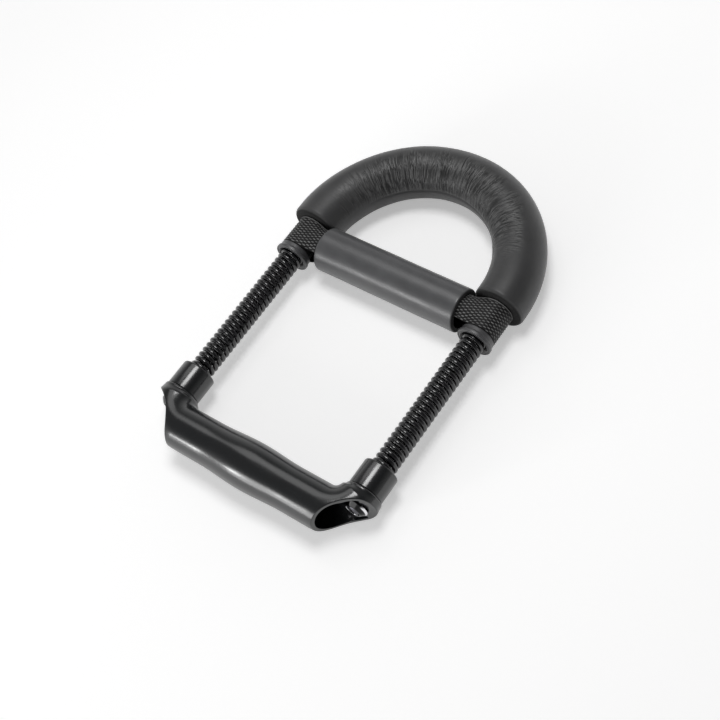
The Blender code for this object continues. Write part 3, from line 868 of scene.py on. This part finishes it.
# %% Collars
collar_face, sleeve_end = ends("right_collar")
collar_height = 6.2 * mm
sleeve_radius = tube_radius - 1.1 * mm
spring_bore = sleeve_radius - 0.75 * mm
body_radius = tube_radius + 1.25 * mm
lip_radius = body_radius + 0.8 * mm
pin_line = middle("right_collar_pin").y
pin_radius = half_size("right_collar_pin")
collar_corners = [
    (sleeve_radius, sleeve_end, 0.3 * mm),
    (sleeve_radius, collar_face + collar_height, 0),
    (body_radius, collar_face + collar_height, 0.6 * mm),
    (body_radius, collar_face + 3.0 * mm, 0.5 * mm),
    (lip_radius, collar_face + 2.4 * mm, 0.45 * mm),
    (lip_radius, collar_face, 0.7 * mm),
    (lip_radius - 1.0 * mm, collar_face, 0.1 * mm),
    (lip_radius - 1.1 * mm, collar_face + 0.35 * mm, 0.1 * mm),
    (lip_radius - 1.7 * mm, collar_face + 0.35 * mm, 0.1 * mm),
    (lip_radius - 1.8 * mm, collar_face, 0.1 * mm),
    (spring_bore + 1.5 * mm, collar_face, 0.15 * mm),
    (spring_bore, collar_face + 2.2 * mm, 0.8 * mm),
    (spring_bore, sleeve_end, 0.2 * mm),
]


def pin_drill(side):
    bm = bmesh.new()
    size, depth = pin_radius + clearance, 4 * tube_radius
    bmesh.ops.create_cone(bm, cap_ends=True, segments=32, radius1=size, radius2=size, depth=depth)
    return cutter(bm, side, pin_line)


for word, side in sides.items():
    collar = turned(word + "_collar_ring", collar_corners, side, satin_plastic)
    cut(collar, pin_drill(side))
    dress(collar, "frame", "collar_plastic", word + "_collar")


# %% [markdown]
# ## Springs
# Each spring is a left-hand coil of thick wire with a small gap between its turns. When the hand
# turns the handle the coil bends along its whole length, so it is made as two halves that meet
# exactly at the middle. The wire is a circle swept along the helix.

# %% Springs: the helix
spring_low, spring_high = ends("right_spring")
socket_foot, socket_mouth = ends("right_socket")
wire = 3.7 * mm
pitch = 4.25 * mm
coil_radius = half_size("right_spring") - wire / 2
end_bend = 2.4 * mm
lead = math.atan(pitch / (math.tau * coil_radius))
first_turn = spring_low + wire + end_bend * math.cos(lead)
last_turn = spring_high - wire - end_bend * math.cos(lead)
points_a_turn = 28
around_wire = 14
spring_middle = (collar_face + socket_mouth) / 2


def helix(side, low, high):
    """Rings of points round the wire, from one height to another."""
    count = math.ceil((high - low) / pitch * points_a_turn)
    y = np.linspace(low, high, count + 1)
    angle = (y - first_turn) / pitch * math.tau
    away = places(np.cos(angle), 0, np.sin(angle))
    along = places(-np.sin(angle) * coil_radius, pitch / math.tau, np.cos(angle) * coil_radius)
    along /= np.linalg.norm(along, axis=-1, keepdims=True)
    over = np.cross(along, away)
    turn = circle(around_wire)[:, None]
    ring = away[:, None] * np.cos(turn) + over[:, None] * np.sin(turn)
    centre = away * coil_radius + places(side * half_spacing, y, lie_height)
    return centre[:, None] + ring * wire / 2


def spring_half(word, part, low, high):
    name = word + "_spring_" + part + "_half"
    half = ringed(name, helix(sides[word], low, high), spring_paint, 60, looped=False)
    dress(half, None, "spring_black", word + "_spring")
    return half


for word in sides:
    upper = spring_half(word, "upper", spring_middle, last_turn)
    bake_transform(upper)
    lower = spring_half(word, "lower", first_turn, spring_middle)
    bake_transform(lower)
print("turns a spring:", round((last_turn - first_turn) / pitch, 1))


# %% [markdown]
# ## Sockets, washers and screws
# A socket is a glossy moulded cup that takes the spring's lower end and stands on the handle's
# boss. Behind it, in the handle's open end, a bright washer and a dark screw hold everything
# together. They are small, but they show through the opening, so their edges are rounded too. The
# washer shows a bright crescent and not a whole ring: its edge and rim keep their bright colour
# only round the sides that face the light, and the rest of it is painted dark as shade.

# %% Sockets
socket_radius = half_size("right_socket")
socket_shoulder = socket_mouth - 19.2 * mm
hole_radius = 2.8 * mm
cup_floor = socket_mouth - 14.2 * mm
foot_radius = socket_radius - 0.8 * mm
spigot_radius = 7.5 * mm
spigot_top = socket_foot + 4.0 * mm
socket_corners = [
    (socket_radius, socket_mouth, 1.4 * mm),
    (socket_radius, socket_shoulder, 0.35 * mm),
    (foot_radius, socket_shoulder, 0),
    (foot_radius, spigot_top, 0.3 * mm),
    (spigot_radius, spigot_top, 0),
    (spigot_radius, socket_foot, 0.3 * mm),
    (hole_radius, socket_foot, 0.1 * mm),
    (hole_radius, cup_floor, 0.1 * mm),
    (spring_bore, cup_floor, 0.3 * mm),
    (spring_bore, socket_mouth - 0.5 * mm, 0.2 * mm),
    (spring_bore + 0.6 * mm, socket_mouth, 0.25 * mm),
]
for word, side in sides.items():
    socket = turned(word + "_socket_cup", socket_corners, side, gloss_plastic)
    dress(socket, "handle", "handle_gloss", word + "_socket")

# %% Washers
washer_low, washer_top = ends("right_washer")
washer_radius = half_size("right_washer")
washer_base = washer_top - 1.8 * mm
edge_low = washer_top - 0.8 * mm
head_radius = half_size("right_screw")
hollow_radius = head_radius + 0.4 * mm
rim_radius = hollow_radius + 1.0 * mm
edge_light_angle = math.radians(-35)
rim_light_angle = math.radians(230)


def washer_flank(part):
    """A point of the narrowing side, from its edge at 0 to its rim at 1."""
    edge, rim = np.array((washer_radius, edge_low)), np.array((rim_radius, washer_low))
    return (*(edge + part * (rim - edge)), 0)


washer_corners = [
    (washer_radius, washer_top, 0.2 * mm),
    (washer_radius, edge_low, 0.25 * mm),
    *[washer_flank(part) for part in (0.2, 0.3, 0.75, 0.85)],
    (rim_radius, washer_low, 0.4 * mm),
    (hollow_radius, washer_low, 0.4 * mm),
    (hollow_radius, washer_low + 0.75 * mm, 0),
    (hollow_radius, washer_base, 0.3 * mm),
    (hole_radius, washer_base, 0.15 * mm),
    (hole_radius, washer_top, 0.15 * mm),
]
for word, side in sides.items():
    washer = turned(word + "_bright_washer", washer_corners, side, nickel)
    at = np.array([v.co for v in washer.data.vertices])
    outwards = side * at[:, 0] - half_spacing
    upwards = at[:, 2] - lie_height
    from_leg = np.hypot(outwards, upwards)
    angle = np.arctan2(upwards, outwards)
    # Painted shade: the washer keeps its bright colour only on the sector of its edge and the
    # sector of its rim that face the light, and is painted dark everywhere else.
    edge_facing_light = ease(np.cos(angle - edge_light_angle), 0.1, 0.4)
    rim_facing_light = ease(np.cos(angle - rim_light_angle), -0.1, 0.3)
    lit_edge = edge_facing_light * ease(from_leg - washer_radius, -0.95 * mm, -0.65 * mm)
    lit_rim = rim_facing_light * (1 - ease(at[:, 1] - washer_low, 0.45 * mm, 0.7 * mm))
    paint(washer, "painted_shade", 1 - np.maximum(lit_edge, lit_rim))
    dress(washer, "handle", "bright_plate", word + "_washer")

# %% Screws
screw_face, screw_tip = ends("right_screw")
head_top = washer_base - clearance
shank = 2.5 * mm
on_axis = 0.01 * mm
recess_width = 1.1 * mm
recess_span = 5.2 * mm
recess_depth = 1.6 * mm
screw_corners = [
    (on_axis, screw_tip, 0),
    (shank - 0.6 * mm, screw_tip, 0.1 * mm),
    (shank, screw_tip - 0.6 * mm, 0.1 * mm),
    (shank, head_top, 0.1 * mm),
    (head_radius, head_top, 0.2 * mm),
    (head_radius, screw_face + 1.15 * mm, 0.5 * mm),
    (head_radius * 0.72, screw_face + 0.2 * mm, 0.5 * mm),
    (head_radius * 0.4, screw_face, 0.3 * mm),
    (on_axis, screw_face, 0),
]


def recess_block(side, x_span, z_span):
    bm = bmesh.new()
    bmesh.ops.create_cube(bm, size=1.0)
    bmesh.ops.scale(bm, vec=(x_span, 2 * recess_depth, z_span), verts=bm.verts)
    return cutter(bm, side, screw_face)


for word, side in sides.items():
    screw = turned(word + "_cross_screw", screw_corners, side, black_steel, around=64)
    cut(screw, recess_block(side, recess_width, recess_span))
    cut(screw, recess_block(side, recess_span, recess_width))
    dress(screw, "handle", "dark_steel", word + "_screw")


# %% [markdown]
# ## The handle
# The handle is one hollow moulding: a swollen grip that bends into a boss at each end, and a
# slanted hollow cut across each elbow that leaves the ends open. Joining cylinders would leave
# creases at the elbows, so the outside is one tube swept round the bend. The cut's edge is a curve
# on that tube. The mesh is laid so that a row of vertices follows the curve exactly, which lets the
# rim be rounded like a real moulded edge. Only the right half is laid, and the left mirrors it.

# %% Handle: the swept outer shape
wall = 2.8 * mm
bend_radius = 20 * mm
boss_top = socket_shoulder - clearance
lip_round = 1.2 * mm
mouth_radius = socket_radius + 1.0 * mm
root_radius = mouth_radius + 1.7 * mm
grip_end_radius = root_radius + 0.4 * mm
swell = 1.5 * mm
swell_reach = 35 * mm
grip_line = ends("handle_shell")[0] + grip_end_radius + swell
flare_length = 5.5 * mm
scoop_depth = 5.5 * mm
half_chord = math.sqrt(2) * root_radius + 0.4 * mm
scoop_radius = (half_chord**2 + scoop_depth**2) / (2 * scoop_depth)
scoop_out = (scoop_radius - scoop_depth) / math.sqrt(2)
scoop_axis = np.array((half_spacing + scoop_out, grip_line - scoop_out))
scoop_lean = math.tan(math.radians(3))
chord = np.array((1.0, 1.0)) / math.sqrt(2)
across_chord = np.array((1.0, -1.0)) / math.sqrt(2)
grip_run = half_spacing - bend_radius
bend_run = bend_radius * math.pi / 2
boss_run = boss_top - grip_line - bend_radius
handle_run = grip_run + bend_run + boss_run


def grip_radius(s):
    """Outer radius of the swollen grip, s from its middle."""
    reach = np.minimum(1, s / swell_reach)
    return grip_end_radius + swell * (1 + np.cos(math.pi * reach)) / 2


def handle_radius(s):
    """Outer radius, s along the centreline from the middle of the grip to the boss's lip."""
    narrowing = ease(s, grip_run, grip_run + bend_run * 0.6)
    narrowed = grip_radius(s) - (grip_end_radius - root_radius) * narrowing
    to_lip = handle_run - s
    flare = 1 - ease(to_lip, lip_round, lip_round + flare_length)
    flared = narrowed - (root_radius - mouth_radius) * flare
    inside_lip = np.clip(lip_round - to_lip, 0, lip_round)
    return flared - (lip_round - np.sqrt(np.maximum(lip_round**2 - inside_lip**2, 0)))


def handle_point(s, around):
    """A point of the right half's outer surface. Angle 0 is the outside of the bend, 90 is up."""
    turn = np.clip((s - grip_run) / bend_radius, 0, math.pi / 2)
    up_boss = np.maximum(s - grip_run - bend_run, 0)
    cx = np.minimum(s, grip_run) + bend_radius * np.sin(turn)
    cy = grip_line + bend_radius * (1 - np.cos(turn)) + up_boss
    r = handle_radius(s)
    out = r * np.cos(around)
    z = lie_height + r * np.sin(around)
    return places(cx + out * np.sin(turn), cy - out * np.cos(turn), z)


def to_scoop(points):
    """How far points lie outside the hollow cut's cylinder, which leans out at its foot."""
    shift = scoop_lean * (points[..., 2] - lie_height)
    flat = points[..., :2] - scoop_axis + shift[..., None] * across_chord
    return np.linalg.norm(flat, axis=-1) - scoop_radius


print("handle centreline, mm:", round(2 * handle_run / mm, 1))

# %% Handle: vertex rows round the slanted opening
around_handle = 96
step = math.tau / around_handle
window_half = 30
window_start = handle_run - 33 * mm
window_end = handle_run - 1.5 * mm
window_rows = 42
plain_rows = np.linspace(0, window_start, 90)
window_s = np.linspace(window_start, window_end, window_rows)
lip_rows = handle_run - lip_round * (1 - np.sin(np.linspace(0, math.pi / 2, 8)))
all_s = np.concatenate([plain_rows, window_s[1:], lip_rows])
first_row = len(plain_rows) - 1
last_row = first_row + window_rows - 1
hole_middle = handle_run - 16.7 * mm
halvings = 40


def window_border():
    """(row, line) of each vertex once round the window, line 0 being the outside of the bend."""
    w = window_half
    border = [(first_row, j) for j in range(-w, w)]
    border += [(i, w) for i in range(first_row, last_row)]
    border += [(last_row, j) for j in range(w, -w, -1)]
    border += [(i, -w) for i in range(last_row, first_row, -1)]
    return border


def rim_curve(border_at):
    """Where each straight line from the hole's middle to the window's border leaves the cut."""
    start = np.array((hole_middle, 0.0))
    way = border_at - start
    low, high = np.zeros(len(way)), np.ones(len(way))
    for _ in range(halvings):
        half = (low + high) / 2
        at = start + way * half[:, None]
        outside = to_scoop(handle_point(at[:, 0], at[:, 1])) > 0
        high = np.where(outside, half, high)
        low = np.where(outside, low, half)
    return start + way * high[:, None]


border = window_border()
border_at = np.array([(all_s[i], j * step) for i, j in border])
rim = rim_curve(border_at)
rim_points = handle_point(rim[:, 0], rim[:, 1])
print("rim reaches up to z", round(float(rim_points[:, 2].max() / mm), 1), "mm")

# %% Handle: the half shell's outside, with its rounded rim and hollow
rim_round = 0.75 * mm
rim_rows = 6
patch_rows = 18
hollow_rows = 14
crowding = 1.3
border_points = handle_point(border_at[:, 0], border_at[:, 1])
span = np.linalg.norm(border_points - rim_points, axis=1)
first_part = (rim_round / span)[:, None]
outer_rows = []
for t in np.linspace(1, 0, patch_rows + 1)[1:]:
    part = first_part + (1 - first_part) * t**crowding
    at = rim + (border_at - rim) * part
    outer_rows.append(handle_point(at[:, 0], at[:, 1]))


def scoop_point(t, z):
    """A point of the hollow, t along its chord and z above the table."""
    back = np.sqrt(scoop_radius**2 - t**2) + scoop_lean * (z - lie_height)
    flat = scoop_axis + t[:, None] * chord - back[:, None] * across_chord
    return np.column_stack([flat, z])


rim_t = (rim_points[:, :2] - scoop_axis) @ chord
rim_z = rim_points[:, 2]
middle_t = (rim_t.max() + rim_t.min()) / 2
land_start = 1 - rim_round / np.hypot(rim_t - middle_t, rim_z - lie_height)


def hollow_row(keep):
    """The rim's curve in the hollow, drawn in to a part of its size."""
    z = lie_height + (rim_z - lie_height) * keep
    return scoop_point(middle_t + (rim_t - middle_t) * keep, z)


inner_edge, outer_edge = hollow_row(land_start), outer_rows[-1]
for t in np.linspace(0, 1, rim_rows + 2)[1:]:
    bend = (1 - t) ** 2 * outer_edge + 2 * t * (1 - t) * rim_points + t**2 * inner_edge
    outer_rows.append(bend)
for part in np.linspace(1, 0, hollow_rows + 2)[1:-1]:
    outer_rows.append(hollow_row(land_start * part))
hollow_middle = scoop_point(np.array([middle_t]), np.array([lie_height]))
print("rows from the window to the hollow's middle:", len(outer_rows))


# %% Handle: join the rows to one closed solid
def handle_half():
    """Points and faces of the right half, open where it meets the left one."""
    grid = handle_point(all_s[:, None], circle(around_handle)[None, :]).reshape(-1, 3)
    faces = []
    for i in range(len(all_s) - 1):
        for j in range(around_handle):
            signed = j if j < around_handle / 2 else j - around_handle
            if first_row <= i < last_row and -window_half <= signed < window_half:
                continue
            k = (j + 1) % around_handle
            a, b = i * around_handle, (i + 1) * around_handle
            faces.append((a + j, a + k, b + k, b + j))
    ring = [i * around_handle + j % around_handle for i, j in border]
    base = len(grid)
    for row in outer_rows:
        new = list(range(base, base + len(row)))
        faces += zip(ring, ring[1:] + ring[:1], new[1:] + new[:1], new)
        ring, base = new, base + len(row)
    faces += [(a, b, base) for a, b in zip(ring, ring[1:] + ring[:1])]
    top = (len(all_s) - 1) * around_handle
    faces.append(tuple(range(top, top + around_handle)))
    return np.concatenate([grid, *outer_rows, hollow_middle]), faces


half_points, half_faces = handle_half()
right = len(half_points)
seam = around_handle
mirrored = half_points[seam:] * np.array((-1, 1, 1))
all_points = np.concatenate([half_points, mirrored])
left_faces = [
    tuple(v if v < seam else v - seam + right for v in reversed(face)) for face in half_faces
]
handle = piece("hollow_handle", all_points, half_faces + left_faces, gloss_plastic, 35)
bm = bmesh.new()
bm.from_mesh(handle.data)
loose = [v for v in bm.verts if not v.link_faces]
bmesh.ops.delete(bm, geom=loose, context="VERTS")
bm.to_mesh(handle.data)
bm.free()
print("outer solid's faces:", len(handle.data.polygons))


# %% [markdown]
# ## Hollowing the handle
# The inside is simpler: a bore through the grip, and under each boss a round chamber with a floor
# that the screw goes through, and a pocket above it for the socket's foot. These are turned
# cutters. Each is turned by a small angle, so that no edge of one lies exactly on another.

# %% Handle: bore, chambers and pockets
small_turn = math.radians(1.3)
bore_steps = 33


def turned_cutter(name, profile, place):
    """A cutter turned from (radius, height) corners about its own Z, put in its place."""
    angles = circle(96) + small_turn
    r, h = np.split(np.array(profile), 2, axis=1)
    rings = places(r * np.cos(angles), r * np.sin(angles), h)
    obj = ringed(name, rings, gloss_plastic, looped=False)
    obj.matrix_world = place
    return obj


def placed(x, y, angle, axis):
    return Matrix.Translation((x, y, lie_height)) @ Matrix.Rotation(angle, 4, axis)


bore_reach = half_spacing + 2 * root_radius
swollen = np.linspace(-swell_reach, swell_reach, bore_steps)
bore_x = np.concatenate([[-bore_reach], swollen, [bore_reach]])
bore_profile = np.column_stack([grip_radius(np.abs(bore_x)) - wall, bore_x])
cut(handle, turned_cutter("grip_bore", bore_profile, placed(0, grip_line, math.pi / 2, "Y")))
floor_low = washer_top + clearance
floor_high = socket_foot - clearance
chamber = root_radius - wall
spigot_room, foot_room = spigot_radius + clearance, foot_radius + clearance
pocket = [
    (chamber, grip_line - 2 * scoop_depth),
    (chamber, floor_low),
    (hole_radius, floor_low),
    (hole_radius, floor_high),
    (spigot_room, floor_high),
    (spigot_room, spigot_top - clearance),
    (foot_room, spigot_top - clearance),
    (foot_room, boss_top + 5 * mm),
]
for word, side in sides.items():
    place = placed(side * half_spacing, 0, -math.pi / 2, "X")
    cut(handle, turned_cutter(word + "_pocket", pocket, place))
handle.data.shade_smooth()
handle.data.set_sharp_from_angle(angle=math.radians(30))
dress(handle, "handle", "handle_gloss", "handle_shell")


# %% [markdown]
# ## Table and light
# The photograph is a cut-out on white, so the table is a plain white sheet. A little of its own
# light, seen by the camera and in reflections but not shed on anything, lifts it to white, and it
# keeps the exerciser's shadow. Far from the exerciser it needs more of that to stay white, and only
# the camera sees this second part. Dark glossy things show the shape of the lights themselves, so
# those are wide soft boxes: one low in front for the long band on the handle, with a small bright
# one before it, one behind, and one overhead. The world is pale at the horizon and dimmer overhead
# and to the right, where the photograph's reflections are dark, and straight to the camera white.

# %% Table
table_reach = 4.0
just_below = -0.2 * mm
near_glow, most_far_glow = 0.39, 0.45
table_mesh = bpy.data.meshes.new("table")
square = ((-1, -1), (1, -1), (1, 1), (-1, 1))
corners = [(x * table_reach, y * table_reach, just_below) for x, y in square]
table_mesh.from_pydata(corners, [], [(0, 1, 2, 3)])
table_sheet, tree, shader = new_material("white_table", Base_Color=grey(0.9), Roughness=0.8)
ray = node(tree, "LightPath").outputs
seen = math_node(tree, "MAXIMUM", ray["Is Camera Ray"], ray["Is Glossy Ray"])
seen = math_node(tree, "MAXIMUM", seen, ray["Is Transmission Ray"])
glow = math_node(tree, "MULTIPLY", seen, near_glow)
away = node(tree, "VectorMath", {0: object_place(tree)}, operation="LENGTH").outputs["Value"]
far_glow = ranged(tree, away, 0.5, 2.5, 0.0, most_far_glow)
far_glow = math_node(tree, "MULTIPLY", far_glow, ray["Is Camera Ray"])
strength = math_node(tree, "ADD", glow, far_glow)
fill(tree, shader.inputs, {"Emission Color": grey(1), "Emission Strength": strength})
table_mesh.materials.append(table_sheet)
table = in_scene("table", table_mesh)
table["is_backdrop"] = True
print("table's side, m:", 2 * table_reach)

# %% World
world = bpy.data.worlds.new("studio")
bpy.context.scene.world = world
world.use_nodes = True
tree = world.node_tree
direction = node(tree, "TexCoord").outputs["Generated"]
way = node(tree, "SeparateXYZ", {0: direction}).outputs
by_height = ranged(tree, way["Z"], 0.0, 0.6, 1.0, 0.15)
by_side = ranged(tree, way["X"], 0.1, 0.7, 1.0, 0.42)
level = math_node(tree, "MULTIPLY", by_height, by_side)
straight = node(tree, "LightPath").outputs["Is Camera Ray"]
level = math_node(tree, "MAXIMUM", level, straight)
fill(tree, tree.nodes["Background"].inputs, {"Color": level})
print("world nodes:", len(tree.nodes))


# %% Soft boxes
def soft_box(name, direction, distance, size, power):
    """A rectangular lamp at a distance in a direction from the exerciser, aimed back at it."""
    data = bpy.data.lights.new(name, "AREA")
    data.shape = "RECTANGLE"
    data.size, data.size_y = size
    data.energy = power
    lamp = in_scene(name, data)
    way = Vector(direction).normalized()
    lamp.location = way * distance
    lamp.rotation_euler = way.to_track_quat("Z", "Y").to_euler()
    print(name, "radiance:", round(power / (math.pi * size[0] * size[1]), 2))


soft_box("front_box", (-0.20, -0.96, 0.19), 1.3, (0.9, 0.54), 5.9)
soft_box("front_spot", (-0.46, -0.86, 0.21), 1.25, (0.14, 0.12), 1.0)
soft_box("back_box", (-0.46, 0.30, 0.84), 1.4, (0.6, 0.55), 1.3)
soft_box("top_strip", (-0.03, 0.19, 0.98), 1.3, (0.46, 0.46), 6.2)

# %% [markdown]
# ## Size
# The dressed exerciser has to fill the same space as its solids, so both boxes are printed.

# %% Sizes and the end
dressed_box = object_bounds()
for name, (low, high) in (("solid", solid_box), ("dressed", dressed_box)):
    print(name, "size, mm:", [round((b - a) / mm, 2) for a, b in zip(low, high)])
